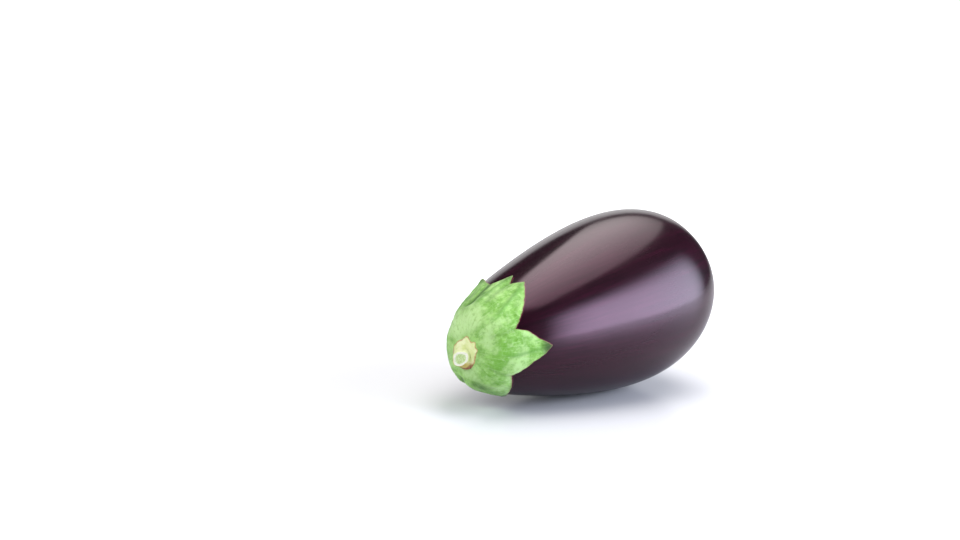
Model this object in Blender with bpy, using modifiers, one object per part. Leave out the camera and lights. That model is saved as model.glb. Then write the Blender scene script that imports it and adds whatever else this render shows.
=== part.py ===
"""An eggplant lying on its side: the fruit, the leafy calyx that caps its stem end, and the cut stem.

Each piece is modelled round the fruit's own axis, which runs along +Y from the pole at the stem to the
pole at the blossom end, with +Z up. The three are then tilted together until the fruit balances on the
small flat spot beneath it, and moved so that the origin is at the middle of the base.
"""

import math

import bmesh
import bpy
import numpy as np
from mathutils import Matrix, Vector

# Fruit, in metres. Its radius at a share t of its length is
# t^STEM_END_POWER * (1 - t)^BLOSSOM_END_POWER * e^(BELLY_SHIFT * t), scaled to the diameter.
FRUIT_LENGTH = 0.180
FRUIT_DIAMETER = 0.092
STEM_END_POWER = 0.22  # 0.5 is as round as a ball, and less is blunter
BLOSSOM_END_POWER = 0.46
BELLY_SHIFT = 1.05  # above 0 the widest place moves towards the blossom end
BOW_SIDE = 0.0025  # how far the middle of the axis bows out towards +X
BOW_DOWN = 0.0022  # and towards the floor
# The stem end isn't quite round: degrees from the top towards +X, the width in degrees, and the height.
SHOULDERS = ((288, 40, -0.0027), (192, 30, 0.0016))
SHOULDER_RISE = (0.010, 0.021)  # reaches from the pole between which a shoulder comes in
SHOULDER_FALL = (0.028, 0.060)  # and those between which it goes
REST_SPOT_DEPTH = 0.0004  # how much of the underside the flat spot takes away
FRUIT_SEGMENTS = 48
FRUIT_RINGS = 32

# Calyx. Its outline goes round the stem: degrees from the top towards +X, and the reach from the
# fruit's pole, measured over the skin. Notches and the tips of the seven lobes take turns.
CALYX_OUTLINE = (
    (8, 0.0430),
    (17, 0.0485),
    (60, 0.0270),
    (86, 0.0445),
    (124, 0.0255),
    (174, 0.0410),
    (198, 0.0275),
    (224, 0.0440),
    (250, 0.0265),
    (278, 0.0455),
    (304, 0.0290),
    (325, 0.0500),
    (348, 0.0395),
    (363, 0.0490),
)
CALYX_THICKNESS = 0.0020
CALYX_EDGE_THICKNESS = 0.0010
CALYX_COLUMN_ANGLE = 5.0  # the widest step round the stem, in degrees
CALYX_RINGS = 14

# Stem
STEM_BASE_RADIUS = 0.0070
STEM_CUT_RADIUS = 0.0045
STEM_LENGTH = 0.0080
STEM_OFF_POLE_SIDE = -0.0010  # where it stands on the crown, off the fruit's pole, in X
STEM_OFF_POLE_UP = -0.0040  # and in Z
STEM_STRAIGHT_SHARE = 0.2  # how much of the stem leaves the crown straight before it leans
STEM_LEAN_SIDE = math.radians(30)  # towards +X
STEM_STEPS = 8
STEM_BEVEL_RESOLUTION = 4

CLEARANCE = 0.0003  # between pieces that touch on the real fruit
PROFILE_STEPS = 2000
TILT_LIMIT = math.radians(40)
TILT_HALVINGS = 40

SKIN_PURPLE = (0.020, 0.002, 0.010, 1.0)
CALYX_GREEN = (0.260, 0.480, 0.140, 1.0)
STEM_GREEN = (0.420, 0.460, 0.170, 1.0)


# ---------------------------------------------------------------- the fruit's shape


def unscaled_radius(share):
    ends = share**STEM_END_POWER * (1 - share) ** BLOSSOM_END_POWER
    return ends * np.exp(BELLY_SHIFT * share)


# The profile from the stem's pole to the blossom end, with its points closest together at the poles.
SHARES = 0.5 - 0.5 * np.cos(np.linspace(0, math.pi, PROFILE_STEPS))
RADII = unscaled_radius(SHARES) * FRUIT_DIAMETER / 2 / unscaled_radius(SHARES).max()
AXIAL = SHARES * FRUIT_LENGTH
OVER_SKIN = np.concatenate([[0], np.cumsum(np.hypot(np.diff(AXIAL), np.diff(RADII)))])


def bow(share):
    """How far the axis is off a straight line, in X and Z, at a share of the length."""
    swing = 4 * share * (1 - share)
    return BOW_SIDE * swing, -BOW_DOWN * swing


def smooth(value, low, high):
    """0 below low, 1 above high, and a smooth rise between."""
    share = min(max((value - low) / (high - low), 0), 1)
    return share * share * (3 - 2 * share)


def shoulder(share, angle):
    """How far the skin near the stem stands out from a perfectly turned shape."""
    height = 0
    for at, width, peak in SHOULDERS:
        off = (math.degrees(angle) - at + 180) % 360 - 180
        height += peak * math.exp(-((off / width) ** 2))
    reach = np.interp(share, SHARES, OVER_SKIN)
    return height * smooth(reach, *SHOULDER_RISE) * (1 - smooth(reach, *SHOULDER_FALL))


def skin_point(share, angle):
    """The point on the skin at a share of the length and an angle from the top towards +X."""
    radius = np.interp(share, SHARES, RADII)
    bow_x, bow_z = bow(share)
    turned = Vector(
        (
            radius * math.sin(angle) + bow_x,
            share * FRUIT_LENGTH,
            radius * math.cos(angle) + bow_z,
        )
    )
    return turned + skin_normal(share, angle) * shoulder(share, angle)


def skin_normal(share, angle):
    """The outward direction there, from the slope of the turned shape."""
    step = 1e-4
    low, high = max(share - step, 0), min(share + step, 1)
    along = (high - low) * FRUIT_LENGTH
    rise = np.interp(high, SHARES, RADII) - np.interp(low, SHARES, RADII)
    outward = Vector((along * math.sin(angle), -rise, along * math.cos(angle)))
    return outward.normalized()


# ---------------------------------------------------------------- how it lies


def resting_tilt():
    """The angle at which the fruit's lowest point is straight below its centre of mass."""
    slices = np.gradient(AXIAL) * RADII**2
    centre_y = (slices * AXIAL).sum() / slices.sum()
    centre_z = (slices * bow(SHARES)[1]).sum() / slices.sum()
    keel = bow(SHARES)[1] - RADII
    low, high = -TILT_LIMIT, TILT_LIMIT
    for _ in range(TILT_HALVINGS):
        tilt = (low + high) / 2
        lowest = np.argmin(AXIAL * math.sin(tilt) + keel * math.cos(tilt))
        contact = AXIAL[lowest] * math.cos(tilt) - keel[lowest] * math.sin(tilt)
        centre = centre_y * math.cos(tilt) - centre_z * math.sin(tilt)
        if contact > centre:
            low = tilt
        else:
            high = tilt
    return tilt


# ---------------------------------------------------------------- Blender helpers


def clear_scene():
    for thing in list(bpy.data.objects):
        bpy.data.objects.remove(thing)


def new_collection(name):
    made = bpy.data.collections.new(name)
    bpy.context.scene.collection.children.link(made)
    return made


def plain_material(name, colour, roughness):
    made = bpy.data.materials.new(name)
    made.use_nodes = True
    shader = made.node_tree.nodes["Principled BSDF"]
    shader.inputs["Base Color"].default_value = colour
    shader.inputs["Roughness"].default_value = roughness
    shader.inputs["Metallic"].default_value = 0.0
    return made


def object_from_bmesh(name, shape, collection):
    mesh = bpy.data.meshes.new(name)
    bmesh.ops.recalc_face_normals(shape, faces=shape.faces)
    shape.to_mesh(mesh)
    shape.free()
    mesh.shade_smooth()
    made = bpy.data.objects.new(name, mesh)
    collection.objects.link(made)
    return made


# ---------------------------------------------------------------- the pieces


def make_fruit(collection):
    """A ball whose points are moved out to the fruit's profile."""
    shape = bmesh.new()
    bmesh.ops.create_uvsphere(
        shape, u_segments=FRUIT_SEGMENTS, v_segments=FRUIT_RINGS, radius=1
    )
    for vertex in shape.verts:
        share = min(max((1 - vertex.co.z) / 2, 0), 1)
        vertex.co = skin_point(share, math.atan2(vertex.co.x, vertex.co.y))
    fruit = object_from_bmesh("fruit", shape, collection)
    fruit.data.materials.append(plain_material("skin", SKIN_PURPLE, 0.2))
    return fruit


def cut_rest_spot(fruit, cutters):
    """Takes a thin slice off the underside, up to the floor at z = 0."""
    shape = bmesh.new()
    bmesh.ops.create_cube(shape, size=FRUIT_DIAMETER)
    floor = object_from_bmesh("floor_cutter", shape, cutters)
    floor.location = (0, 0, -FRUIT_DIAMETER / 2)
    floor.hide_render = True
    floor.display_type = "WIRE"
    cut = fruit.modifiers.new("rest_spot", "BOOLEAN")
    cut.operation = "DIFFERENCE"
    cut.object = floor


def calyx_columns():
    """(angle, reach) of each column round the stem, with one on every notch and tip."""
    columns = []
    closed = [*CALYX_OUTLINE, (CALYX_OUTLINE[0][0] + 360, CALYX_OUTLINE[0][1])]
    for (from_angle, from_reach), (to_angle, to_reach) in zip(closed, closed[1:]):
        steps = math.ceil((to_angle - from_angle) / CALYX_COLUMN_ANGLE)
        for step in range(steps):
            share = step / steps
            angle = from_angle + (to_angle - from_angle) * share
            reach = from_reach + (to_reach - from_reach) * share
            columns.append((math.radians(angle), reach))
    return columns


def calyx_hole_reach(angle):
    """The reach, over the skin, at which the calyx clears the stem on its way out at an angle."""
    along = STEM_OFF_POLE_SIDE * math.sin(angle) + STEM_OFF_POLE_UP * math.cos(angle)
    across = STEM_OFF_POLE_SIDE * math.cos(angle) - STEM_OFF_POLE_UP * math.sin(angle)
    hole_radius = STEM_BASE_RADIUS + CLEARANCE
    from_pole = along + math.sqrt(hole_radius**2 - across**2)
    widest = RADII.argmax()
    return np.interp(from_pole, RADII[:widest], OVER_SKIN[:widest])


def calyx_point(angle, reach):
    share = np.interp(reach, OVER_SKIN, SHARES)
    return skin_point(share, angle) + skin_normal(share, angle) * CLEARANCE


def make_calyx(collection):
    """A sheet laid over the stem end of the fruit, round the stem, and thickened outwards."""
    shape = bmesh.new()
    columns = []
    for angle, reach in calyx_columns():
        reaches = np.linspace(calyx_hole_reach(angle), reach, CALYX_RINGS + 1)
        columns.append([shape.verts.new(calyx_point(angle, r)) for r in reaches])
    for column, following in zip(columns, columns[1:] + columns[:1]):
        for ring in range(CALYX_RINGS):
            outer = ring + 1
            shape.faces.new(
                (column[ring], following[ring], following[outer], column[outer])
            )
    calyx = object_from_bmesh("calyx", shape, collection)
    facing = sum((face.normal * face.area for face in calyx.data.polygons), Vector())
    if facing.y > 0:
        calyx.data.flip_normals()
    fullness = calyx.vertex_groups.new(name="fullness")
    for index in range(len(calyx.data.vertices)):
        outwards = index % (CALYX_RINGS + 1) / CALYX_RINGS
        fullness.add([index], 1 - outwards**2, "REPLACE")
    thick = calyx.modifiers.new("thickness", "SOLIDIFY")
    thick.thickness = CALYX_THICKNESS
    thick.offset = 1
    thick.vertex_group = fullness.name
    thick.thickness_vertex_group = CALYX_EDGE_THICKNESS / CALYX_THICKNESS
    calyx.data.materials.append(plain_material("calyx", CALYX_GREEN, 0.6))
    return calyx


def stem_route():
    """(point, radius) along the stem, which leaves the crown straight and then leans over."""
    step_length = STEM_LENGTH / STEM_STEPS
    place = Vector((STEM_OFF_POLE_SIDE, -CLEARANCE, STEM_OFF_POLE_UP))
    route = []
    for step in range(STEM_STEPS + 1):
        share = step / STEM_STEPS
        radius = STEM_BASE_RADIUS + (STEM_CUT_RADIUS - STEM_BASE_RADIUS) * share
        route.append((place.copy(), radius))
        bend = max(share - STEM_STRAIGHT_SHARE, 0) / (1 - STEM_STRAIGHT_SHARE)
        lean = STEM_LEAN_SIDE * bend
        place += step_length * Vector((math.sin(lean), -math.cos(lean), 0))
    return route


def make_stem(collection):
    """The stub of the stem, as a tapering tube from the crown to the cut."""
    curve = bpy.data.curves.new("stem", "CURVE")
    curve.dimensions = "3D"
    curve.bevel_depth = STEM_BASE_RADIUS
    curve.bevel_resolution = STEM_BEVEL_RESOLUTION
    curve.use_fill_caps = True
    spline = curve.splines.new("POLY")
    route = stem_route()
    spline.points.add(len(route) - 1)
    for point, (place, radius) in zip(spline.points, route):
        point.co = (*place, 1)
        point.radius = radius / STEM_BASE_RADIUS
    stem = bpy.data.objects.new("stem", curve)
    collection.objects.link(stem)
    curve.materials.append(plain_material("stem", STEM_GREEN, 0.7))
    return stem


# ---------------------------------------------------------------- the whole eggplant


def corners(thing, turned):
    """The points of an object's evaluated mesh, turned."""
    evaluated = thing.evaluated_get(bpy.context.evaluated_depsgraph_get())
    mesh = evaluated.to_mesh()
    points = np.array([turned @ vertex.co for vertex in mesh.vertices])
    evaluated.to_mesh_clear()
    return points


def lay_down(pieces):
    """Tilts the pieces to their rest, with the base's middle at the origin."""
    turned = Matrix.Rotation(resting_tilt(), 4, "X")
    bpy.context.view_layer.update()
    points = np.concatenate([corners(piece, turned) for piece in pieces])
    low, high = points.min(axis=0), points.max(axis=0)
    middle = (low + high) / 2
    rest = Matrix.Translation((-middle[0], -middle[1], -low[2] - REST_SPOT_DEPTH))
    for piece in pieces:
        piece.matrix_world = rest @ turned


def main():
    clear_scene()
    eggplant = new_collection("eggplant")
    cutters = new_collection("cutters")
    fruit = make_fruit(eggplant)
    lay_down([fruit, make_calyx(eggplant), make_stem(eggplant)])
    cut_rest_spot(fruit, cutters)


main()
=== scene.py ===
"""The looks of an eggplant lying on a white studio floor.

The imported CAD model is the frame. The fruit, calyx and stem that show are finer meshes in the same
places. Each is shaped round the fruit's own axis, +Y from the stem's pole to the blossom end, and then
tilted and moved to where the CAD fruit lies.
"""

import math

import bpy
import numpy as np
from mathutils import Matrix, Vector, noise


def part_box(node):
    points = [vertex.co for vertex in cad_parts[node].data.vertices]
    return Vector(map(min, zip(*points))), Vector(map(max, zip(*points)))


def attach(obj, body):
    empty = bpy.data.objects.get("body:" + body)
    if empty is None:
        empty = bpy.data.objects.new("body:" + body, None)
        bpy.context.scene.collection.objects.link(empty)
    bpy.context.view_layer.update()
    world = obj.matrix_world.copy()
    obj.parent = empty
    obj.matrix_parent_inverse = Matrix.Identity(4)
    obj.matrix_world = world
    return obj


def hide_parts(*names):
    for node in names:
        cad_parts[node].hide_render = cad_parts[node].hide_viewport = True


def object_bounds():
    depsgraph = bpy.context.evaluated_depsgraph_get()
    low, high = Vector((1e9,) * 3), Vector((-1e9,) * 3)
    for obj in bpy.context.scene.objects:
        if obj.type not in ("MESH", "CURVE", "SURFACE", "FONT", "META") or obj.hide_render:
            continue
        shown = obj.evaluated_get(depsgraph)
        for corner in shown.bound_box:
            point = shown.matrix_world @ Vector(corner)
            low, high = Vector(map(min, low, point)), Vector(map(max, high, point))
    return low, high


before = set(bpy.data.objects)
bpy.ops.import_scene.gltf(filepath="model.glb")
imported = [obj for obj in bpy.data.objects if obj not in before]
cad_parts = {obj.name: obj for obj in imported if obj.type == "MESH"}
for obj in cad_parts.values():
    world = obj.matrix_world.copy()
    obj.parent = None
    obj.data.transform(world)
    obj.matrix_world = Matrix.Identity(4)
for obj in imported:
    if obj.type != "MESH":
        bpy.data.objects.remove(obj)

CAD_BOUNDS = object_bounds()
MM = 0.001

# The fruit's outline, by the same rule as the CAD fruit's. Its length and diameter come from the box.
STEM_END_POWER = 0.22
BLOSSOM_END_POWER = 0.46
BELLY_SHIFT = 1.05
BOW_SIDE = 2.5 * MM
BOW_DOWN = 2.2 * MM
# The stem end isn't quite round: degrees from the top towards +X, how wide in degrees, and how high.
SHOULDERS = ((288, 40, -2.7 * MM), (192, 30, 1.6 * MM))
SHOULDER_RISE = (10 * MM, 21 * MM)  # reaches from the pole between which a shoulder comes in
SHOULDER_FALL = (28 * MM, 60 * MM)  # and those between which it goes
REST_SPOT_DEPTH = 0.4 * MM
REST_SPOT_EDGE = 0.12 * MM  # how softly the flat spot meets the rest of the underside
PROFILE_STEPS = 4000

# The scar at the blossom end: a dimple with a low rim.
SCAR_DEPTH = 0.9 * MM
SCAR_RADIUS = 3.6 * MM
SCAR_RIM_RADIUS = 2.6 * MM
SCAR_RIM_WIDTH = 0.9 * MM
SCAR_RIM_HEIGHT = 0.22 * MM

FRUIT_SEGMENTS = 320
FRUIT_RING_STEP = 1.3 * MM
FRUIT_FINE_STEP = 0.6 * MM  # near the calyx's edge, where the skin's colour changes
FRUIT_FINE_REACH = (22 * MM, 54 * MM)
POLES_BEYOND_CALYX = (-0.03, 0.2)  # the stem's pole is well under the calyx, the other well past it

# The calyx's edge: degrees from the top towards +X, and the reach over the skin from the pole, in mm.
CALYX_EDGE = (
    (8, 43.0), (17, 48.5), (26, 43.8), (39, 37.4), (50, 31.8), (60, 27.0),
    (66, 32.6), (76, 37.2), (86, 44.5), (95, 40.0), (102, 34.8), (113, 29.8), (124, 25.5),
    (137, 28.9), (151, 32.6), (163, 36.4), (174, 41.0), (186, 33.5), (198, 27.5),
    (208, 34.8), (224, 44.0), (238, 33.8), (250, 26.5),
    (260, 33.0), (278, 45.5), (292, 36.0), (304, 29.0),
    (313, 38.5), (325, 50.0), (337, 43.5), (348, 39.5), (363, 49.0),
)
# Each notch's crease: its angle, where the crease ends (angle, and reach in mm), and its depth in mm,
# which also sets how dark its painted shade is.
CALYX_NOTCHES = (
    (8, 8, 22, 0.35),
    (60, 56, 18, 0.30),
    (124, 126, 17, 0.30),
    (198, 196, 15, 0.80),
    (250, 250, 17, 0.45),
    (304, 302, 17, 0.45),
    (348, 328, 18, 1.25),
)
# Each lobe's tip: its angle, its reach in mm, the middle of its base, how far its tip lifts in mm, and
# how dark and dry it is.
CALYX_TIPS = (
    (17, 48.5, 34, 0.5, 0.15),
    (86, 44.5, 92, 0.9, 0.95),
    (174, 41.0, 161, 0.3, 0.7),
    (224, 44.0, 224, 0.6, 0.5),
    (278, 45.5, 277, 0.8, 0.7),
    (325, 50.0, 326, 1.4, 0.6),
    (363, 49.0, 358, 0.9, 0.4),
)
# Places on the calyx darkened with painted shade: degrees from the top towards +X, reach, size in mm,
# and how dark.
CALYX_PAINTED_SHADE = (
    (158, 22, 2.0, 0.5), (166, 20, 3.0, 0.95), (172, 18, 2.4, 0.8), (325, 22, 4.0, 0.4),
    (328, 42, 5.0, 0.45), (336, 30, 5.0, 0.5), (340, 21, 3.0, 0.6), (347, 25, 3.0, 0.7),
    (352, 30, 3.0, 0.7),
)
# Paler and deeper green places, partly the calyx's own mottle and partly painted light and painted
# shade: degrees from the top towards +X, reach, size in mm, and how pale.
CALYX_PAINTED_LIGHT_AND_TONES = (
    (358, 13, 6, 1.0), (16, 16, 4, 0.6), (322, 11, 5, 0.9), (33, 37, 5, 0.4), (235, 20, 6, 0.6),
    (83, 18, 5, -0.8), (102, 20, 5, -0.9), (118, 14, 4, -0.6), (136, 22, 5, -0.7), (200, 30, 6, -0.5),
    (285, 22, 6, -0.6),
)

# The stem, where the CAD model's is. Its cut is a little smaller, and its bark spreads wider.
STEM_CUT_RADIUS = 4.0 * MM
STEM_LENGTH = 8.0 * MM
STEM_OFF_POLE_SIDE = -1.0 * MM
STEM_OFF_POLE_UP = -4.0 * MM
STEM_STRAIGHT_SHARE = 0.2
STEM_LEAN_SIDE = math.radians(30)


# ---------------------------------------------------------------- the fruit's shape


def smooth(value, low, high):
    """0 below low, 1 above high, and a smooth rise between."""
    share = np.clip((value - low) / (high - low), 0, 1)
    return share * share * (3 - 2 * share)


def bow(share):
    """How far the axis is off a straight line, in X and Z, at a share of the length."""
    swing = 4 * share * (1 - share)
    return BOW_SIDE * swing, -BOW_DOWN * swing


def unscaled_radius(share):
    """The radius at a share of the length, before it is scaled to the diameter."""
    ends = share**STEM_END_POWER * (1 - share) ** BLOSSOM_END_POWER
    return ends * np.exp(BELLY_SHIFT * share)


def shoulder(reach, angle):
    """How far the skin near the stem stands out from a perfectly turned shape."""
    height = 0
    for at, width, peak in SHOULDERS:
        off = (np.degrees(angle) - at + 180) % 360 - 180
        height = height + peak * np.exp(-((off / width) ** 2))
    return height * smooth(reach, *SHOULDER_RISE) * (1 - smooth(reach, *SHOULDER_FALL))


class Fruit:
    """The fruit's smooth surface for a length and a diameter, and how it lies.

    A place on it is a reach and an angle: the distance over the skin from the stem's pole, and the way
    round from the top towards +X.
    """

    def __init__(self, length, diameter):
        self.shares = 0.5 - 0.5 * np.cos(np.linspace(0, math.pi, PROFILE_STEPS))
        shape = unscaled_radius(self.shares)
        self.radii = shape * diameter / 2 / shape.max()
        self.axial = self.shares * length
        steps = np.hypot(np.diff(self.axial), np.diff(self.radii))
        self.over_skin = np.concatenate([[0], np.cumsum(steps)])
        self.tilt = self.resting_tilt()
        self.move = np.zeros(3)

    def resting_tilt(self):
        """The angle at which the lowest point is straight below the centre of mass."""
        slices = np.gradient(self.axial) * self.radii**2
        bow_z = bow(self.shares)[1]
        centre_y = (slices * self.axial).sum() / slices.sum()
        centre_z = (slices * bow_z).sum() / slices.sum()
        keel = bow_z - self.radii
        low, high = -0.7, 0.7
        for _ in range(40):
            tilt = (low + high) / 2
            lowest = np.argmin(self.axial * math.sin(tilt) + keel * math.cos(tilt))
            contact = self.axial[lowest] * math.cos(tilt) - keel[lowest] * math.sin(tilt)
            centre = centre_y * math.cos(tilt) - centre_z * math.sin(tilt)
            low, high = (tilt, high) if contact > centre else (low, tilt)
        return tilt

    def skin(self, reach, angle):
        """Points and outward normals on the smooth skin, for arrays of reach and angle."""
        share = np.interp(reach, self.over_skin, self.shares)
        radius = np.interp(reach, self.over_skin, self.radii)
        axial = np.interp(reach, self.over_skin, self.axial)
        step = 0.3 * MM
        before, after = reach - step, reach + step
        along = np.interp(after, self.over_skin, self.axial)
        along = along - np.interp(before, self.over_skin, self.axial)
        rise = np.interp(after, self.over_skin, self.radii)
        rise = rise - np.interp(before, self.over_skin, self.radii)
        size = np.maximum(np.hypot(along, rise), 1e-9)
        bow_x, bow_z = bow(share)
        sin, cos = np.sin(angle), np.cos(angle)
        point = np.stack([radius * sin + bow_x, axial, radius * cos + bow_z], -1)
        normal = np.stack([along * sin, -rise, along * cos], -1) / size[..., None]
        return point + normal * shoulder(reach, angle)[..., None], normal

    def laid(self, points):
        """Points round the axis, as they lie in the row frame."""
        cos, sin = math.cos(self.tilt), math.sin(self.tilt)
        turned = points.copy()
        turned[..., 1] = points[..., 1] * cos - points[..., 2] * sin
        turned[..., 2] = points[..., 1] * sin + points[..., 2] * cos
        return turned + self.move


def fitted_fruit():
    """The fruit whose box is the CAD fruit's."""
    low, high = (np.array(corner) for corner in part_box("fruit"))
    wanted = high - low
    length, diameter = wanted[1], wanted[0]
    reach, angle = np.meshgrid(
        np.linspace(0, 1, 400), np.linspace(0, 2 * math.pi, 360), indexing="ij"
    )
    for _ in range(4):
        fruit = Fruit(length, diameter)
        points = fruit.laid(fruit.skin(reach * fruit.over_skin[-1], angle)[0])
        size = np.ptp(points.reshape(-1, 3), axis=0)
        length *= wanted[1] / size[1]
        diameter *= wanted[0] / size[0]
    points = points.reshape(-1, 3)
    middle = (points.min(axis=0) + points.max(axis=0)) / 2
    fruit.move = (low + high) / 2 - middle
    fruit.move[2] = low[2] - REST_SPOT_DEPTH - points[:, 2].min()
    return fruit


FRUIT = fitted_fruit()


def skin_place(degrees, reach_mm):
    """The point on the skin at an angle in degrees and a reach in mm."""
    return FRUIT.skin(np.array(reach_mm * MM), np.array(math.radians(degrees)))[0]


def blob(points, degrees, reach_mm, size_mm):
    """1 at a place on the skin, fading to nothing around it over about twice the size."""
    apart = np.linalg.norm(points - skin_place(degrees, reach_mm), axis=-1)
    return np.exp(-((apart / (size_mm * MM)) ** 2))


# ---------------------------------------------------------------- mesh helpers


def grid_faces(rows, columns, first=0):
    """Quads of a grid whose columns close into a ring, as rows of vertex numbers."""
    row, column = np.meshgrid(np.arange(rows - 1), np.arange(columns), indexing="ij")
    following = (column + 1) % columns
    corners = np.stack(
        [
            row * columns + column,
            row * columns + following,
            (row + 1) * columns + following,
            (row + 1) * columns + column,
        ],
        -1,
    )
    return (corners.reshape(-1, 4) + first).tolist()


def mesh_object(name, points, faces):
    """A smooth-shaded mesh object in the scene."""
    mesh = bpy.data.meshes.new(name)
    mesh.from_pydata(points.tolist(), [], faces)
    mesh.validate()
    mesh.shade_smooth()
    made = bpy.data.objects.new(name, mesh)
    bpy.context.scene.collection.objects.link(made)
    return made


def add_number(thing, name, values):
    """A number at each vertex, which the piece's material reads by name."""
    made = thing.data.attributes.new(name, "FLOAT", "POINT")
    made.data.foreach_set("value", np.asarray(values, np.float32).ravel())


def add_vector(thing, name, values):
    """Three numbers at each vertex, likewise."""
    made = thing.data.attributes.new(name, "FLOAT_VECTOR", "POINT")
    made.data.foreach_set("vector", np.asarray(values, np.float32).ravel())


def field(points, scale, seed):
    """Smooth noise from -1 to 1 at each point, with lumps of about the scale."""
    offset = Vector((seed * 17.3, seed * 5.1, seed * 9.7))
    flat = points.reshape(-1, 3) / scale
    values = [noise.noise(Vector(point) + offset) for point in flat]
    return np.array(values).reshape(points.shape[:-1])


# ---------------------------------------------------------------- fruit


def edge_reach(angle_degrees):
    """The reach of the calyx's edge at each angle."""
    angles = np.array([angle for angle, _ in CALYX_EDGE], float)
    reaches = np.array([reach for _, reach in CALYX_EDGE]) * MM
    return np.interp(angle_degrees, angles, reaches, period=360)


def undulation(reach, angle):
    """How far the skin swells and sinks from a perfectly turned shape."""
    along = reach / FRUIT.over_skin[-1]
    swell = (
        0.50 * np.cos(2 * angle + 0.6 + 2.0 * along)
        + 0.35 * np.cos(3 * angle - 1.1 + 3.5 * along)
        + 0.22 * np.cos(5 * angle + 2.3 - 4.0 * along)
        + 0.30 * np.cos(9.0 * along + 1.4 + np.cos(angle))
    )
    return 0.40 * MM * swell * smooth(along, 0.18, 0.45) * (1 - smooth(along, 0.90, 1.0))


def fruit_reaches():
    """The reach of each ring: closer together near the calyx's edge and the poles."""
    reaches = [0.0]
    end = FRUIT.over_skin[-1]
    while reaches[-1] < end:
        reach = reaches[-1]
        fine = FRUIT_FINE_REACH[0] < reach < FRUIT_FINE_REACH[1]
        step = FRUIT_FINE_STEP if fine else FRUIT_RING_STEP
        nearest_pole = min(reach, end - reach)
        reaches.append(reach + min(step, 0.35 * MM + 0.15 * nearest_pole))
    reaches[-1] = end
    return np.array(reaches)


def fruit_height(reach, angle, from_blossom):
    """How far the skin stands out from the smooth fruit: its swells, and the scar with its rim."""
    scar = np.exp(-((from_blossom / SCAR_RADIUS) ** 2))
    rim = np.exp(-(((from_blossom - SCAR_RIM_RADIUS) / SCAR_RIM_WIDTH) ** 2))
    height = undulation(reach, angle) - SCAR_DEPTH * scar
    return height + SCAR_RIM_HEIGHT * rim * (1 + 0.6 * np.cos(5 * angle + 1))


def make_fruit():
    reaches = fruit_reaches()
    angles = np.linspace(0, 2 * math.pi, FRUIT_SEGMENTS, endpoint=False)
    reach, angle = np.meshgrid(reaches[1:-1], angles, indexing="ij")
    point, normal = FRUIT.skin(reach, angle)
    end = FRUIT.over_skin[-1]
    from_blossom = end - reach
    height = fruit_height(reach, angle, from_blossom)
    point = FRUIT.laid(point + normal * height[..., None])
    poles = FRUIT.laid(np.array([[0, 0, 0], [0, FRUIT.axial[-1] - SCAR_DEPTH, 0]], float))
    above = point[..., 2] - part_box("fruit")[0].z
    point[..., 2] += (np.sqrt(above**2 + REST_SPOT_EDGE**2) - above) / 2

    rows, columns = reach.shape
    faces = grid_faces(rows, columns)
    first, last = rows * columns, rows * columns + 1
    for column in range(columns):
        following = (column + 1) % columns
        faces.append([first, following, column])
        faces.append([last, (rows - 1) * columns + column, (rows - 1) * columns + following])
    fruit = mesh_object("fruit_skin", np.vstack([point.reshape(-1, 3), poles]), faces)

    beyond = reach - edge_reach(np.degrees(angle))
    grain = grain_vector(reach, angle).reshape(-1, 3)
    add_number(fruit, "beyond_calyx", np.append(beyond.ravel(), POLES_BEYOND_CALYX))
    add_number(fruit, "from_blossom", np.append(from_blossom.ravel(), [end, 0]))
    add_vector(fruit, "grain", np.vstack([grain, [[0, 0, 0], [0, 0, end]]]))
    return fruit


def grain_vector(reach, angle):
    """Coordinates for patterns that run along the fruit: a ring round the axis, and the reach."""
    ring = 40 * MM
    return np.stack([ring * np.sin(angle), ring * np.cos(angle), reach], -1)


# ---------------------------------------------------------------- calyx

CALYX_COLUMN_STEP = 0.75  # degrees
CALYX_OUTER_ROWS = 64
CALYX_INNER_ROWS = 14
CALYX_GAP = 0.15 * MM
COLLAR_RADIUS = 6.5 * MM  # of the hole that the stem passes through
CROWN_THICKNESS = 2.0 * MM
LOBE_THINNER = 1.1 * MM  # how much less than the crown the lobes measure
CALYX_THINNEST = 0.35 * MM
EDGE_BULGE = 0.22 * MM  # how far the rounded edge stands out
NECK_HEIGHT = 1.2 * MM  # how far the calyx climbs the stem
NECK_WIDTH = 2.2 * MM
RAGGED_EDGE = 0.42 * MM


def from_stem(points):
    """The distance of points from the line on which the stem stands."""
    return np.hypot(points[..., 0] - STEM_OFF_POLE_SIDE, points[..., 2] - STEM_OFF_POLE_UP)


def hole_reach(angle, radius):
    """The distance from the pole to the hole's edge, on the way out at an angle."""
    along = STEM_OFF_POLE_SIDE * np.sin(angle) + STEM_OFF_POLE_UP * np.cos(angle)
    across = STEM_OFF_POLE_SIDE * np.cos(angle) - STEM_OFF_POLE_UP * np.sin(angle)
    from_pole = along + np.sqrt(radius**2 - across**2)
    widest = FRUIT.radii.argmax()
    return np.interp(from_pole, FRUIT.radii[:widest], FRUIT.over_skin[:widest])


def neck(distance):
    """How much higher the calyx stands near the stem."""
    return NECK_HEIGHT * np.exp(-np.maximum(distance - COLLAR_RADIUS, 0) / NECK_WIDTH)


def calyx_angles():
    """The angle of each column, in degrees, with one on every corner of the edge."""
    corners = [angle for angle, _ in CALYX_EDGE]
    angles = []
    for start, end in zip(corners, [*corners[1:], corners[0] + 360]):
        steps = math.ceil((end - start) / CALYX_COLUMN_STEP)
        angles.extend(start + (end - start) * step / steps for step in range(steps))
    return np.array(angles)


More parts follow.
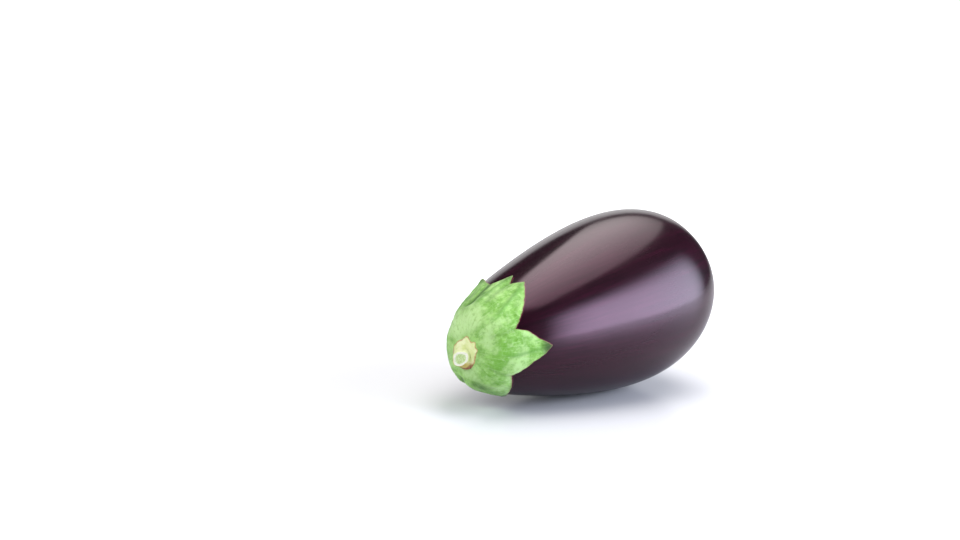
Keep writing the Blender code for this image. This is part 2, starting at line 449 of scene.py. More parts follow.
def distance_to(points, path):
    """The distance of each point from a path of (angle in degrees, reach in mm) over the skin,
    and how far along the path its nearest place is, from 0 to 1."""
    angle, reach = np.array(path, float).T
    share = np.linspace(0, 1, 90)
    at = np.linspace(0, 1, len(angle))
    path_reach = np.interp(share, at, reach) * MM
    path_angle = np.radians(np.interp(share, at, angle))
    route = FRUIT.skin(path_reach, path_angle)[0]
    apart = np.linalg.norm(points[..., None, :] - route, axis=-1)
    return apart.min(axis=-1), share[apart.argmin(axis=-1)]


def calyx_relief(points):
    """How far midribs and creases stand out on the calyx, where they are, and where painted shade
    darkens the creases and other places.
    """
    relief = np.zeros(points.shape[:-1])
    rib_mask = np.zeros_like(relief)
    painted_shade_mask = np.zeros_like(relief)
    for tip_angle, tip_reach, base_angle, *_ in CALYX_TIPS:
        middle = (base_angle * 0.45 + tip_angle * 0.55, tip_reach * 0.75)
        midrib = ((base_angle, 15), (base_angle, 24), middle, (tip_angle, tip_reach))
        apart, along = distance_to(points, midrib)
        rib = np.exp(-((apart / (1.1 * MM)) ** 2)) * smooth(along, 0.02, 0.45)
        relief += 0.40 * MM * rib * (1 - 0.6 * smooth(along, 0.8, 1.0))
        relief += 0.35 * MM * np.exp(-((apart / (5.0 * MM)) ** 2)) * (1 - along)
        rib_mask = np.maximum(rib_mask, rib)
    for notch, inner_angle, start, depth in CALYX_NOTCHES:
        reach = float(edge_reach(notch)) / MM
        line = ((notch, reach), (notch, 0.6 * reach), (inner_angle, start))
        apart, along = distance_to(points, line)
        crease = np.exp(-((apart / (1.5 * MM)) ** 2)) * (1 - smooth(along, 0.45, 1.0))
        relief -= depth * MM * crease
        # painted shade in the crease, as dark as the crease is deep
        painted_shade_mask = np.maximum(painted_shade_mask, crease * depth)
    # painted shade on further places of the calyx
    for at, reach, size, darkness in CALYX_PAINTED_SHADE:
        painted_shade_mask = np.maximum(painted_shade_mask, darkness * blob(points, at, reach, size))
    return relief, rib_mask, painted_shade_mask


def calyx_painted_light_and_tone(points):
    """How much paler or deeper the green is at each point, from 1 to -1: partly the calyx's own mottle,
    partly painted light and painted shade.
    """
    painted_light_and_tone = np.zeros(points.shape[:-1])
    for at, reach, size, strength in CALYX_PAINTED_LIGHT_AND_TONES:
        painted_light_and_tone += strength * blob(points, at, reach, size)
    return np.clip(painted_light_and_tone, -1, 1)


def from_tips(degrees, reach):
    """Each lobe's row of CALYX_TIPS, with how far every place on the skin is from its tip."""
    here = FRUIT.skin(reach, np.radians(degrees))[0]
    for tip in CALYX_TIPS:
        yield tip, np.linalg.norm(here - skin_place(tip[0], tip[1]), axis=-1)


def tip_mask(degrees, reach):
    """How dark and dry the tips of the lobes are, fading over a few millimetres."""
    mask = np.zeros_like(reach)
    for (*_, darkness), apart in from_tips(degrees, reach):
        mask = np.maximum(mask, darkness * (1 - smooth(apart, 2.5 * MM, 8 * MM)))
    return mask


def calyx_lift(degrees, reach, to_edge):
    """How far the calyx stands off the skin: a little at its edge, and more at its tips."""
    lift = 0.12 * MM * (1 - smooth(to_edge, 0, 4 * MM))
    for (*_, rise, _), apart in from_tips(degrees, reach):
        lift = lift + rise * MM * (1 - smooth(apart, 0, 8 * MM)) ** 1.5
    return lift


def calyx_rims(degrees):
    """The reach of the calyx's two ragged rims at each angle: round the stem, and its outer edge."""
    angles = np.radians(degrees)
    around = np.stack([np.sin(angles), np.cos(angles), 0 * angles], -1)
    ragged = field(30 * around, 1.6, 3) + 0.5 * field(30 * around, 0.6, 4)
    torn = field(7 * around, 1.5, 8)
    start = hole_reach(angles, COLLAR_RADIUS + 0.25 * MM * torn)
    return start, edge_reach(degrees) + RAGGED_EDGE * ragged


def calyx_grid(rows, degrees, start, edge):
    """The angle, the reach and the distance left to the edge, at each row's share of the way out and
    at each column."""
    share, column = np.meshgrid(rows, np.arange(len(degrees)), indexing="ij")
    width = (edge - start)[column]
    return degrees[column], start[column] + width * share, width * (1 - share)


def calyx_height(point, degrees, reach, to_edge, relief):
    """How far the calyx's outer face stands off the skin."""
    apart = from_stem(point)
    thickness = CROWN_THICKNESS - LOBE_THINNER * smooth(reach, 16 * MM, 34 * MM)
    thickness *= 0.42 + 0.58 * smooth(to_edge, 0, 3.5 * MM)
    lumps = 0.22 * MM * field(point, 5 * MM, 1) + 0.12 * MM * field(point, 2 * MM, 2)
    relief = (relief + lumps) * smooth(apart, 8 * MM, 14 * MM)
    relief = relief * (0.25 + 0.75 * smooth(to_edge, 0, 2.5 * MM))
    lift = calyx_lift(degrees, reach, to_edge)
    return CALYX_GAP + lift + np.maximum(thickness + relief + neck(apart), CALYX_THINNEST)


def make_calyx():
    degrees = calyx_angles()
    start, edge = calyx_rims(degrees)

    rows = np.linspace(0, 1, CALYX_OUTER_ROWS) ** 0.85
    at, reach, to_edge = calyx_grid(rows, degrees, start, edge)
    point, normal = FRUIT.skin(reach, np.radians(at))
    relief, rib_mask, painted_shade_mask = calyx_relief(point)
    height = calyx_height(point, at, reach, to_edge, relief)
    outer = point + normal * height[..., None]

    rows = np.linspace(1, 0, CALYX_INNER_ROWS)
    inner_at, inner_reach, inner_to_edge = calyx_grid(rows, degrees, start, edge)
    inner_point, inner_normal = FRUIT.skin(inner_reach, np.radians(inner_at))
    inner_height = CALYX_GAP + calyx_lift(inner_at, inner_reach, inner_to_edge)
    inner = inner_point + inner_normal * inner_height[..., None]

    # The edge is rounded by a row that stands out between the outer and inner faces.
    angles = np.radians(degrees)
    beyond = FRUIT.skin(edge + EDGE_BULGE, angles)[0] - FRUIT.skin(edge, angles)[0]
    rim = (outer[-1] + inner[0]) / 2 + beyond
    points = FRUIT.laid(np.concatenate([outer, rim[None], inner]))
    columns = len(degrees)
    faces = grid_faces(len(points), columns)
    last = (len(points) - 1) * columns
    for column in range(columns):
        following = (column + 1) % columns
        faces.append([last + column, last + following, following, column])
    calyx = mesh_object("calyx_leaf", points.reshape(-1, 3), faces)

    # The material's numbers matter on the outer face. The rim and the inner face take one value.
    hidden = (CALYX_INNER_ROWS + 1) * columns
    for name, values, elsewhere in (
        ("rib", rib_mask, 0),
        ("crease", painted_shade_mask, 0),
        ("painted_light_and_tone", calyx_painted_light_and_tone(point), 0),
        ("to_edge", to_edge, 0),
        ("from_stem", from_stem(point), 0.03),
        ("tip", tip_mask(at, reach), 0),
    ):
        add_number(calyx, name, np.append(values.ravel(), np.full(hidden, elsewhere)))
    grain = grain_vector(reach, np.radians(at)).reshape(-1, 3)
    add_vector(calyx, "grain", np.vstack([grain, np.zeros((hidden, 3))]))
    return calyx


# ---------------------------------------------------------------- stem

STEM_SEGMENTS = 180
SKIRT_ROWS = 14
FLANK_ROWS = 22
CUT_ROWS = 18
SKIRT_RISE = 0.18 * MM  # how far the skirt of bark stands off the calyx that it spreads over
SKIRT_INNER_RADIUS = 5.6 * MM
FLANK_START = 4.2 * MM  # where along the stem's middle line its flank starts
STEM_TOP = math.radians(20)  # the middle of the bark's pale upper side, from the top towards +X
# The torn edge of the skirt of bark: degrees from the top towards +X, and the radius in mm.
SKIRT_EDGE = (
    (8, 11.3), (18, 9.6), (29, 9.2), (37, 11.6), (45, 9.6), (54, 9.3), (61, 10.0), (68, 8.2),
    (82, 7.5), (106, 7.2), (130, 6.9), (160, 7.2), (194, 7.3), (221, 7.8), (254, 8.0),
    (286, 7.8), (300, 8.5), (314, 8.2), (334, 8.6), (350, 8.8), (360, 10.3),
)
# The outline of the cut face: degrees from the top towards +X, and the share of its radius.
CUT_SHAPE = (
    (0, 1.00), (45, 1.24), (90, 0.98), (135, 0.78),
    (180, 0.90), (225, 1.12), (270, 0.93), (315, 1.07),
)


def stem_axis(along):
    """The stem's middle line and its direction at distances along it from the crown."""
    steps = 200
    lengths = np.linspace(0, STEM_LENGTH, steps + 1)
    share = lengths / STEM_LENGTH
    bend = np.maximum(share - STEM_STRAIGHT_SHARE, 0) / (1 - STEM_STRAIGHT_SHARE)
    lean = STEM_LEAN_SIDE * bend
    way = np.stack([np.sin(lean), -np.cos(lean), 0 * lean], -1)
    places = np.vstack([[0, 0, 0], np.cumsum(way[:-1] * STEM_LENGTH / steps, axis=0)])
    places += np.array([STEM_OFF_POLE_SIDE, -0.3 * MM, STEM_OFF_POLE_UP])
    middle = np.array([np.interp(along, lengths, places[:, i]) for i in range(3)])
    direction = np.array([np.interp(along, lengths, way[:, i]) for i in range(3)])
    return middle, direction / np.linalg.norm(direction)


def round_trip(table, angles):
    """A table of (angle in degrees, value), read at each angle and slightly smoothed."""
    at, value = np.array(table, float).T
    degrees = np.degrees(angles)
    shifts = (-4, -2, 0, 2, 4)
    return np.mean([np.interp(degrees + shift, at, value, period=360) for shift in shifts], axis=0)


def crown_height(side, up):
    """How far towards -Y the calyx's top lies, at places beside the pole."""
    radius = np.hypot(side, up)
    widest = FRUIT.radii.argmax()
    reach = np.interp(radius, FRUIT.radii[:widest], FRUIT.over_skin[:widest])
    place, normal = FRUIT.skin(reach, np.arctan2(side, up))
    apart = np.hypot(side - STEM_OFF_POLE_SIDE, up - STEM_OFF_POLE_UP)
    cover = CALYX_GAP + CROWN_THICKNESS + neck(apart)
    return -place[..., 1] + cover / np.maximum(-normal[..., 1], 0.5)


def skirt_rings(angles):
    """Rings of the bark that spreads over the calyx, from its torn edge in to the stem's foot."""
    around = np.stack([9 * np.sin(angles), 9 * np.cos(angles), angles * 0], -1)
    ragged = 0.30 * field(around, 1.6, 21) + 0.18 * field(around, 0.7, 22)
    edge = (round_trip(SKIRT_EDGE, angles) + ragged) * MM
    rings = []
    for share in np.linspace(0, 1, SKIRT_ROWS + 1):
        radius = edge + (SKIRT_INNER_RADIUS - edge) * share
        side = STEM_OFF_POLE_SIDE + radius * np.sin(angles)
        up = STEM_OFF_POLE_UP + radius * np.cos(angles)
        rise = SKIRT_RISE * min(share * 8, 1) - 0.1 * MM + 1.3 * MM * share**2
        rings.append(np.stack([side, -crown_height(side, up) - rise, up], -1))
    return rings


def flank_rings(angles, foot):
    """Rings from the stem's foot up to the edge of the cut."""
    rings = []
    shape = round_trip(CUT_SHAPE, angles)
    ridges = 0.022 * np.cos(9 * angles + 1) + 0.016 * np.cos(17 * angles)
    for share in np.linspace(0, 1, FLANK_ROWS + 1)[1:]:
        middle, direction = stem_axis(FLANK_START + (STEM_LENGTH - FLANK_START) * share)
        side = np.cross(direction, (0, 0, -1.0))
        side *= np.sign(side[0]) / np.linalg.norm(side)
        up = np.array([0, 0, 1.0]) - direction * direction[2]
        radius = SKIRT_INNER_RADIUS + (STEM_CUT_RADIUS - SKIRT_INNER_RADIUS) * share**0.7
        outline = 1 + (shape - 1) * share + ridges * (1 - share)
        across = np.sin(angles)[:, None] * side + np.cos(angles)[:, None] * up
        ring = middle + (radius * outline)[:, None] * across
        joined = smooth(share, 0, 0.5)
        rings.append(foot * (1 - joined) + ring * joined)
    return rings


def cut_rings(rim):
    """Rings of the cut face, from its edge in to a last point in the middle of the pith."""
    middle, direction = stem_axis(STEM_LENGTH)
    rings = []
    for size in np.linspace(1, 0, CUT_ROWS + 1)[1:]:
        bulge = 0.22 * MM * smooth(1 - size, 0, 0.10)
        lip = 0.15 * MM * math.exp(-(((size - 0.82) / 0.09) ** 2))
        sunk = 0.40 * MM * (1 - smooth(size, 0.45, 0.74))
        rings.append(middle + (rim - middle) * size + direction * (bulge + lip - sunk))
    rings[-1] = rings[-1][:1]
    return rings


def make_stem():
    angles = np.linspace(0, 2 * math.pi, STEM_SEGMENTS, endpoint=False)
    skirt = skirt_rings(angles)
    flank = flank_rings(angles, skirt[-1])
    cut = cut_rings(flank[-1])
    rings = skirt + flank + cut
    points = FRUIT.laid(np.concatenate(rings))
    faces = grid_faces(len(rings) - 1, STEM_SEGMENTS)
    last = len(points) - 1
    base = last - STEM_SEGMENTS
    for column in range(STEM_SEGMENTS):
        faces.append([base + column, base + (column + 1) % STEM_SEGMENTS, last])
    stem = mesh_object("stem_stub", points, faces)
    # The kind runs from -1 to 0 over the skirt, to 1 up the flank and to 2 across the cut.
    kinds = [
        *np.linspace(-1, 0, len(skirt)),
        *np.linspace(0, 1, len(flank) + 1)[1:],
        *np.linspace(1, 2, len(cut) + 1)[1:],
    ]
    kind = np.concatenate([np.full(len(ring), value) for ring, value in zip(rings, kinds)])
    below = 0.5 - 0.5 * np.cos(angles - STEM_TOP)
    under = np.concatenate([below[: len(ring)] for ring in rings])
    from_edge = np.concatenate(
        [np.linalg.norm(ring - skirt[0][: len(ring)], axis=-1) for ring in rings]
    )
    add_number(stem, "kind", kind)
    add_number(stem, "under", under)
    add_number(stem, "from_edge", from_edge)
    return stem


# ---------------------------------------------------------------- materials


class Nodes:
    """A short way to write a material's node tree."""

    def __init__(self, name, roughness):
        self.material = bpy.data.materials.new(name)
        self.material.use_nodes = True
        self.tree = self.material.node_tree
        self.shader = self.tree.nodes["Principled BSDF"]
        self.shader.inputs["Roughness"].default_value = roughness

    def node(self, kind, **settings):
        made = self.tree.nodes.new(kind)
        for key, value in settings.items():
            setattr(made, key, value)
        return made

    def feed(self, socket, value):
        """Links an output to a socket, or sets the socket's own value."""
        if isinstance(value, bpy.types.NodeSocket):
            self.tree.links.new(value, socket)
        else:
            socket.default_value = value

    def number(self, name):
        """A number that add_number put on the piece."""
        return self.node("ShaderNodeAttribute", attribute_name=name).outputs["Fac"]

    def vector(self, name):
        """Three numbers that add_vector put on the piece."""
        return self.node("ShaderNodeAttribute", attribute_name=name).outputs["Vector"]

    def place(self):
        return self.node("ShaderNodeNewGeometry").outputs["Position"]

    def scaled(self, vector, scale):
        made = self.node("ShaderNodeMapping")
        self.feed(made.inputs["Vector"], vector)
        made.inputs["Scale"].default_value = scale
        return made.outputs["Vector"]

    def noise(self, vector, scale, detail=3.0, roughness=0.5, distortion=0.0):
        made = self.node("ShaderNodeTexNoise")
        self.feed(made.inputs["Vector"], vector)
        made.inputs["Scale"].default_value = scale
        made.inputs["Detail"].default_value = detail
        made.inputs["Roughness"].default_value = roughness
        made.inputs["Distortion"].default_value = distortion
        return made.outputs["Fac"]

    def span(self, value, low, high, to_low=0.0, to_high=1.0):
        """A smooth change from one number to another as a value goes from low to high."""
        made = self.node("ShaderNodeMapRange", interpolation_type="SMOOTHSTEP")
        self.feed(made.inputs["Value"], value)
        made.inputs["From Min"].default_value = low
        made.inputs["From Max"].default_value = high
        made.inputs["To Min"].default_value = to_low
        made.inputs["To Max"].default_value = to_high
        return made.outputs["Result"]

    def math(self, operation, first, second=0.0):
        made = self.node("ShaderNodeMath", operation=operation)
        self.feed(made.inputs[0], first)
        self.feed(made.inputs[1], second)
        return made.outputs[0]

    def mix(self, share, first, second, blend="MIX"):
        made = self.node("ShaderNodeMix", data_type="RGBA", blend_type=blend)
        self.feed(made.inputs["Factor"], share)
        self.feed(made.inputs[6], first)
        self.feed(made.inputs[7], second)
        return made.outputs[2]

    def bump(self, height, distance, normal=None):
        made = self.node("ShaderNodeBump")
        made.inputs["Distance"].default_value = distance
        self.feed(made.inputs["Height"], height)
        if normal is not None:
            self.feed(made.inputs["Normal"], normal)
        return made.outputs["Normal"]

    def finish(self, **inputs):
        """Feeds the shader's inputs, named with _ for a space, and gives the material."""
        for key, value in inputs.items():
            self.feed(self.shader.inputs[key.replace("_", " ")], value)
        return self.material


def skin_material():
    skin = Nodes("eggplant_skin", 0.3)
    grain = skin.vector("grain")
    streaks = skin.noise(skin.scaled(grain, (1, 1, 0.08)), 420, 4, 0.6)
    patches = skin.noise(grain, 28, 3, 0.5)
    plain = (0.0100, 0.0003, 0.0040, 1)
    streaked = (0.024, 0.0008, 0.0090, 1)
    patched = (0.014, 0.0004, 0.0050, 1)
    colour = skin.mix(skin.span(streaks, 0.35, 0.75), plain, streaked)
    colour = skin.mix(skin.span(patches, 0.4, 0.7, 0, 0.6), colour, patched)

    # The strip that the calyx has kept out of the light is paler.
    near_calyx = skin.span(skin.number("beyond_calyx"), 0.3 * MM, 1.6 * MM, 1, 0)
    colour = skin.mix(skin.math("MULTIPLY", near_calyx, 0.75), colour, (0.16, 0.030, 0.055, 1))

    at_scar = skin.span(skin.number("from_blossom"), 2.4 * MM, 4.2 * MM, 1, 0)
    corky = skin.span(skin.noise(skin.place(), 900, 3, 0.6), 0.3, 0.6, 0.6, 1)
    scar = skin.math("MULTIPLY", at_scar, corky)
    colour = skin.mix(scar, colour, (0.16, 0.085, 0.045, 1))

    fine = skin.noise(skin.place(), 2600, 2, 0.5)
    broad = skin.noise(skin.scaled(grain, (1, 1, 0.35)), 90, 2, 0.5)
    normal = skin.bump(fine, 0.0015 * MM, skin.bump(broad, 0.04 * MM))
    rough = skin.span(patches, 0.3, 0.7, 0.12, 0.17)
    rough = skin.math("ADD", rough, skin.math("MULTIPLY", scar, 0.5))

    # One sharp, faintly purple reflection, under the wide weak one of the wax.
    skin.shader.inputs["IOR"].default_value = 1.44
    skin.shader.inputs["Specular Tint"].default_value = (1.0, 0.60, 0.80, 1)
    skin.shader.inputs["Coat Roughness"].default_value = 0.42
    skin.shader.inputs["Coat IOR"].default_value = 1.4
    wax = skin.math("SUBTRACT", 0.20, skin.math("MULTIPLY", scar, 0.20))
    return skin.finish(Base_Color=colour, Roughness=rough, Normal=normal, Coat_Weight=wax)


def calyx_colour(leaf, fibres, brushed, patches):
    """The calyx's greens, from the broadest patches to the smallest marks, with painted light and
    painted shade among the paler and deeper places.
    """
    colour = leaf.mix(
        leaf.span(patches, 0.35, 0.65), (0.150, 0.360, 0.042, 1), (0.380, 0.640, 0.190, 1)
    )
    # Paler and deeper places: partly the calyx's own mottle, partly painted light and painted shade.
    painted_light_and_tone = leaf.number("painted_light_and_tone")
    colour = leaf.mix(leaf.span(painted_light_and_tone, 0, 1, 0, 0.85), colour, (0.600, 0.780, 0.400, 1))
    colour = leaf.mix(leaf.span(painted_light_and_tone, -1, 0, 0.80, 0), colour, (0.190, 0.440, 0.060, 1))
    colour = leaf.mix(leaf.span(brushed, 0.48, 0.72, 0, 0.65), colour, (0.150, 0.360, 0.045, 1))
    colour = leaf.mix(leaf.span(fibres, 0.48, 0.75, 0, 0.60), colour, (0.520, 0.700, 0.360, 1))
    blots = leaf.noise(leaf.place(), 75, 4, 0.6)
    colour = leaf.mix(leaf.span(blots, 0.46, 0.66, 0, 0.70), colour, (0.560, 0.740, 0.380, 1))
    mottle = leaf.noise(leaf.place(), 420, 4, 0.7)
    colour = leaf.mix(leaf.span(mottle, 0.52, 0.68, 0, 0.45), colour, (0.140, 0.340, 0.045, 1))
    return leaf.mix(leaf.span(mottle, 0.34, 0.48, 0.35, 0), colour, (0.590, 0.760, 0.420, 1))


def calyx_marks(leaf, colour, patches):
    """The ribs, the painted shade in the creases and other shaded places, the dry tips and the brown
    margin over the calyx's greens.
    """
    rib = leaf.math("MULTIPLY", leaf.number("rib"), 0.65)
    colour = leaf.mix(rib, colour, (0.130, 0.310, 0.060, 1))
    # Painted shade: the creases and the other shaded places are darkened.
    crease = leaf.math("MULTIPLY", leaf.number("crease"), 0.95)
    colour = leaf.mix(crease, colour, (0.085, 0.190, 0.040, 1))
    pale = leaf.span(leaf.number("from_stem"), 7 * MM, 15 * MM, 0.25, 0)
    colour = leaf.mix(pale, colour, (0.52, 0.74, 0.34, 1))
    dry = leaf.math("MULTIPLY", leaf.number("tip"), leaf.span(patches, 0.3, 0.6, 0.85, 1))
    colour = leaf.mix(dry, colour, (0.035, 0.070, 0.018, 1))
    margin = leaf.span(leaf.number("to_edge"), 0.0, 0.8 * MM, 1, 0)
    colour = leaf.mix(leaf.math("MULTIPLY", margin, 0.55), colour, (0.26, 0.17, 0.080, 1))
    return leaf.mix(1.0, colour, (0.89, 1.0, 0.84, 1), "MULTIPLY")


def calyx_material():
    leaf = Nodes("calyx_felt", 0.6)
    grain = leaf.vector("grain")
    fibres = leaf.noise(leaf.scaled(grain, (1, 1, 0.14)), 900, 4, 0.65, 0.3)
    brushed = leaf.noise(leaf.scaled(grain, (1, 1, 0.45)), 300, 4, 0.65, 0.4)
    patches = leaf.noise(leaf.place(), 170, 5, 0.7)
    colour = calyx_marks(leaf, calyx_colour(leaf, fibres, brushed, patches), patches)

    speckle = leaf.noise(leaf.place(), 1500, 3, 0.6)
    height = leaf.math("ADD", leaf.math("MULTIPLY", fibres, 0.5), brushed)
    height = leaf.math("ADD", height, leaf.math("MULTIPLY", speckle, 0.4))
    leaf.shader.inputs["Sheen Weight"].default_value = 0.15
    leaf.shader.inputs["Sheen Roughness"].default_value = 0.5
    leaf.shader.inputs["Specular IOR Level"].default_value = 0.2
    return leaf.finish(
        Base_Color=colour,
        Roughness=leaf.span(fibres, 0.3, 0.8, 0.55, 0.75),
        Normal=leaf.bump(height, 0.5 * MM),
    )


def stem_material():
    stem = Nodes("stem_bark", 0.6)
    kind = stem.number("kind")
    under = stem.number("under")
    patches = stem.noise(stem.place(), 320, 4, 0.6)
    fine = stem.noise(stem.place(), 1400, 3, 0.6)

    def mottled(pattern, low, high, dark, light):
        return stem.mix(stem.span(pattern, low, high), (*dark, 1), (*light, 1))

    flank = mottled(patches, 0.35, 0.65, (0.68, 0.76, 0.32), (0.82, 0.86, 0.52))
    golden = mottled(patches, 0.3, 0.7, (0.50, 0.37, 0.08), (0.62, 0.52, 0.16))
    brown = mottled(fine, 0.35, 0.65, (0.36, 0.19, 0.060), (0.60, 0.38, 0.150))
    russet = mottled(fine, 0.35, 0.65, (0.22, 0.070, 0.035), (0.40, 0.18, 0.085))
    white = mottled(fine, 0.3, 0.7, (0.76, 0.78, 0.60), (0.88, 0.88, 0.78))
    green = mottled(fine, 0.35, 0.65, (0.42, 0.58, 0.20), (0.62, 0.76, 0.42))

    # The bark: pale green above and golden below, with a brown torn edge and a russet foot beneath,
    # partly the bark's colour and partly painted shade.
    colour = stem.mix(stem.span(under, 0.35, 0.80), flank, golden)
    from_edge = stem.number("from_edge")
    from_edge = stem.math("ADD", from_edge, stem.math("MULTIPLY", patches, 0.8 * MM))
    colour = stem.mix(stem.span(from_edge, 0.95 * MM, 1.7 * MM, 0.9, 0), colour, brown)
    # Painted shade: the underside of the stem's foot, where it meets the calyx, is darkened with russet,
    # which is partly the bark's own colour.
    foot = stem.span(kind, -0.3, 0.35, 1, 0)
    colour = stem.mix(stem.math("MULTIPLY", stem.span(under, 0.4, 0.75), foot), colour, russet)

    # The cut: a white ring round green pith.
    cut = stem.span(stem.math("ADD", kind, stem.math("MULTIPLY", fine, 0.03)), 1.05, 1.10)
    colour = stem.mix(cut, colour, white)
    pith = stem.span(stem.math("ADD", kind, stem.math("MULTIPLY", patches, 0.10)), 1.33, 1.46)
    colour = stem.mix(pith, colour, green)
    height = stem.math("ADD", patches, stem.math("MULTIPLY", fine, 0.5))
    return stem.finish(
        Base_Color=colour,
        Roughness=stem.span(patches, 0.3, 0.7, 0.5, 0.75),
        Normal=stem.bump(height, 0.35 * MM),
    )


# ---------------------------------------------------------------- stage


CAMERA_AZIMUTH = math.radians(38.42)
CAMERA_ELEVATION = math.radians(10.27)
CAMERA_ROLL = math.radians(4.40)
CAMERA_DISTANCE = 1.2
PIXELS_PER_METRE = 1899.5  # at that distance
IMAGE_WIDTH = 960
# The point the distances are measured from, and where it sits right of and above the middle of the view.
SUBJECT_HEIGHT = 45 * MM
SUBJECT_FROM_POLE = 89.3 * MM
SUBJECT_RIGHT = 52.1 * MM
SUBJECT_UP = -19.4 * MM

DIMMING_START = 0.25  # the share of a soft box after which it grows dimmer
FLOOR_REACH = 30.0
# The floor glows white away from the part, between these distances from the origin.
GLOW_START, GLOW_FULL = 0.10, 0.45
FLOOR_SEEN = (0.78, 0.79, 0.82, 1)
FLOOR_MIRRORED = (0.46, 0.46, 0.49, 1)
GLOW_LOST_IN_MIRROR = 0.7


def camera_axes():
    """The camera's right, up and forward, in the row frame."""
    cos_a, sin_a = math.cos(CAMERA_AZIMUTH), math.sin(CAMERA_AZIMUTH)
    cos_e, sin_e = math.cos(CAMERA_ELEVATION), math.sin(CAMERA_ELEVATION)
    level_right = Vector((cos_a, sin_a, 0))
    forward = Vector((-sin_a * cos_e, cos_a * cos_e, -sin_e))
    level_up = level_right.cross(forward)
    cos_r, sin_r = math.cos(CAMERA_ROLL), math.sin(CAMERA_ROLL)
    return (
        level_right * cos_r + level_up * sin_r,
        level_up * cos_r - level_right * sin_r,
        forward,
    )


def make_camera():
    right, up, forward = camera_axes()
    data = bpy.data.cameras.new("camera")
    data.sensor_width = 36
    data.lens = PIXELS_PER_METRE * CAMERA_DISTANCE * data.sensor_width / IMAGE_WIDTH
    data.clip_start, data.clip_end = 0.05, 60
    camera = bpy.data.objects.new("camera", data)
    bpy.context.scene.collection.objects.link(camera)
    pole = Vector(FRUIT.laid(np.zeros((1, 3)))[0])
    subject = Vector((pole.x, pole.y + SUBJECT_FROM_POLE, SUBJECT_HEIGHT))
    place = subject - right * SUBJECT_RIGHT - up * SUBJECT_UP - forward * CAMERA_DISTANCE
    turn = Matrix((right, up, -forward)).transposed().to_4x4()
    camera.matrix_world = Matrix.Translation(place) @ turn
    bpy.context.scene.camera = camera


def level_ways():
    """The camera's right and forward, made level, in the row frame."""
    cos_a, sin_a = math.cos(CAMERA_AZIMUTH), math.sin(CAMERA_AZIMUTH)
    return Vector((cos_a, sin_a, 0)), Vector((-sin_a, cos_a, 0))


def ramp(tree, value, start, end, to_start, to_end):
    """A smooth change of a value from one number to another."""
    made = tree.nodes.new("ShaderNodeMapRange")
    made.interpolation_type = "SMOOTHSTEP"
    made.inputs["From Min"].default_value = start
    made.inputs["From Max"].default_value = end
    made.inputs["To Min"].default_value = to_start
    made.inputs["To Max"].default_value = to_end
    tree.links.new(value, made.inputs["Value"])
    return made.outputs["Result"]


def panel(name, place, across, upward, size, radiance, colour, soft, dim=(1, 1)):
    """A soft box: a rectangle of light that shines the opposite way to across x upward. Each edge
    fades over a share of the rectangle: at the start and end of across, then of upward. The light is
    dimmed to a share of itself by the end of across, and by the end of upward."""
    data = bpy.data.lights.new(name, "AREA")
    data.shape = "RECTANGLE"
    data.size, data.size_y = size
    data.energy = radiance * math.pi * size[0] * size[1]
    data.color = colour
    data.use_nodes = True
    tree = data.node_tree
    split = tree.nodes.new("ShaderNodeSeparateXYZ")
    geometry = tree.nodes.new("ShaderNodeNewGeometry")
    tree.links.new(geometry.outputs["Parametric"], split.inputs[0])
    total = None
    for axis in (0, 1):
        along = split.outputs[axis]
        for factor in (
            ramp(tree, along, 0, soft[2 * axis], 0, 1),
            ramp(tree, along, 1 - soft[2 * axis + 1], 1, 1, 0),
            ramp(tree, along, DIMMING_START, 1, 1, dim[axis]),
        ):
            if total is None:
                total = factor
                continue
            times = tree.nodes.new("ShaderNodeMath")
            times.operation = "MULTIPLY"
            tree.links.new(total, times.inputs[0])
            tree.links.new(factor, times.inputs[1])
            total = times.outputs[0]
    tree.links.new(total, tree.nodes["Emission"].inputs["Strength"])
    light = bpy.data.objects.new(name, data)
    bpy.context.scene.collection.objects.link(light)
    turn = Matrix((across, upward, across.cross(upward))).transposed().to_4x4()
    light.matrix_world = Matrix.Translation(place) @ turn
    return light


def make_lights():
    right, forward = level_ways()
    up = Vector((0, 0, 1))
    centre = Vector((0, 0, SUBJECT_HEIGHT))
    panel(
        "top_light",
        centre + right * 0.26 + forward * 0.75 + up * 1.0,
        right,
        forward,
        size=(0.86, 2.5),
        radiance=4.5,
        colour=(1, 0.96, 0.93),
        soft=(0.08, 0.05, 0.1, 0.15),
        dim=(0.45, 0.25),
    )
    panel(
        "side_light",
        centre + right * 1.2 + forward * 0.09 + up * 0.45,
        forward,
        up,
        size=(1.8, 1.2),
        radiance=10.0,
        colour=(0.76, 0.83, 1.0),
        soft=(0.24, 0.30, 0.14, 0.45),
        dim=(0.40, 0.8),
    )
    panel(
        "back_light",
        centre + forward * 2.0 + up * 0.42,
        -right,
        up,
        size=(1.6, 0.9),
        radiance=0.9,
        colour=(1, 1, 1),
        soft=(0.2, 0.2, 0.05, 0.2),
    )
    before = centre - forward * 1.0 - right * 1.2 + up * 1.0
    away = (before - centre).normalized()
    fill_across = up.cross(away).normalized()
    fill_upward = away.cross(fill_across)
    fill = panel(
        "fill_light",
        before,
        fill_across,
        fill_upward,
        size=(1.2, 1.0),
        radiance=5.0,
        colour=(1, 1, 1),
        soft=(0.2, 0.2, 0.2, 0.2),
    )
    fill.visible_glossy = False  # it lights the matte surfaces and leaves no reflection


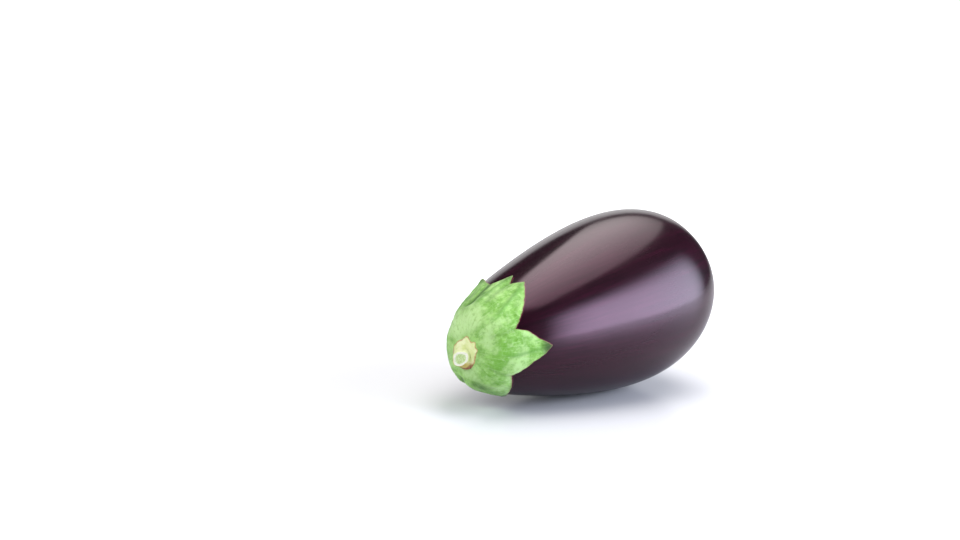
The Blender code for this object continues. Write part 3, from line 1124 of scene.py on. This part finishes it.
def make_world():
    """White where the camera sees past the floor, even light on everything matte, and a dim room in
    the reflections, where the lights stand out."""
    world = bpy.data.worlds.new("studio")
    bpy.context.scene.world = world
    world.use_nodes = True
    tree = world.node_tree
    background = tree.nodes["Background"]
    background.inputs["Color"].default_value = (0.03, 0.03, 0.035, 1)
    even = tree.nodes.new("ShaderNodeBackground")
    even.inputs["Color"].default_value = (0.95, 0.97, 1, 1)
    even.inputs["Strength"].default_value = 0.42
    white = tree.nodes.new("ShaderNodeBackground")
    white.inputs["Color"].default_value = (1, 1, 1, 1)
    white.inputs["Strength"].default_value = 1.3
    path = tree.nodes.new("ShaderNodeLightPath")
    shown = background.outputs[0]
    for ray, shade in (("Is Diffuse Ray", even), ("Is Camera Ray", white)):
        mix = tree.nodes.new("ShaderNodeMixShader")
        tree.links.new(path.outputs[ray], mix.inputs[0])
        tree.links.new(shown, mix.inputs[1])
        tree.links.new(shade.outputs[0], mix.inputs[2])
        shown = mix.outputs[0]
    tree.links.new(shown, tree.nodes["World Output"].inputs["Surface"])
    bpy.context.scene.view_settings.view_transform = "Standard"


def make_floor():
    corners = np.array([[-1, -1, 0], [1, -1, 0], [1, 1, 0], [-1, 1, 0]]) * FLOOR_REACH
    floor = mesh_object("floor", corners, [[0, 1, 2, 3]])
    floor.location.z = CAD_BOUNDS[0].z
    white = Nodes("white_floor", 0.18)
    white.shader.inputs["Specular IOR Level"].default_value = 0.06
    # The skin mirrors the floor less brightly than the camera sees it.
    mirrored = white.node("ShaderNodeLightPath").outputs["Is Glossy Ray"]
    shade = white.mix(mirrored, FLOOR_SEEN, FLOOR_MIRRORED)
    white.feed(white.shader.inputs["Base Color"], shade)
    distance = white.node("ShaderNodeVectorMath", operation="LENGTH")
    white.feed(distance.inputs[0], white.place())
    far = white.span(distance.outputs["Value"], GLOW_START, GLOW_FULL)
    seen = white.math("SUBTRACT", 1.0, white.math("MULTIPLY", mirrored, GLOW_LOST_IN_MIRROR))
    white.feed(white.shader.inputs["Emission Strength"], white.math("MULTIPLY", far, seen))
    white.shader.inputs["Emission Color"].default_value = (1, 1, 1, 1)
    floor.data.materials.append(white.material)


# ---------------------------------------------------------------- the whole scene


def add_piece(piece, node, material):
    piece.data.materials.append(material)
    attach(piece, "root")
    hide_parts(node)


add_piece(make_fruit(), "fruit", skin_material())
add_piece(make_calyx(), "calyx", calyx_material())
add_piece(make_stem(), "stem", stem_material())
make_floor()
make_world()
make_lights()
make_camera()
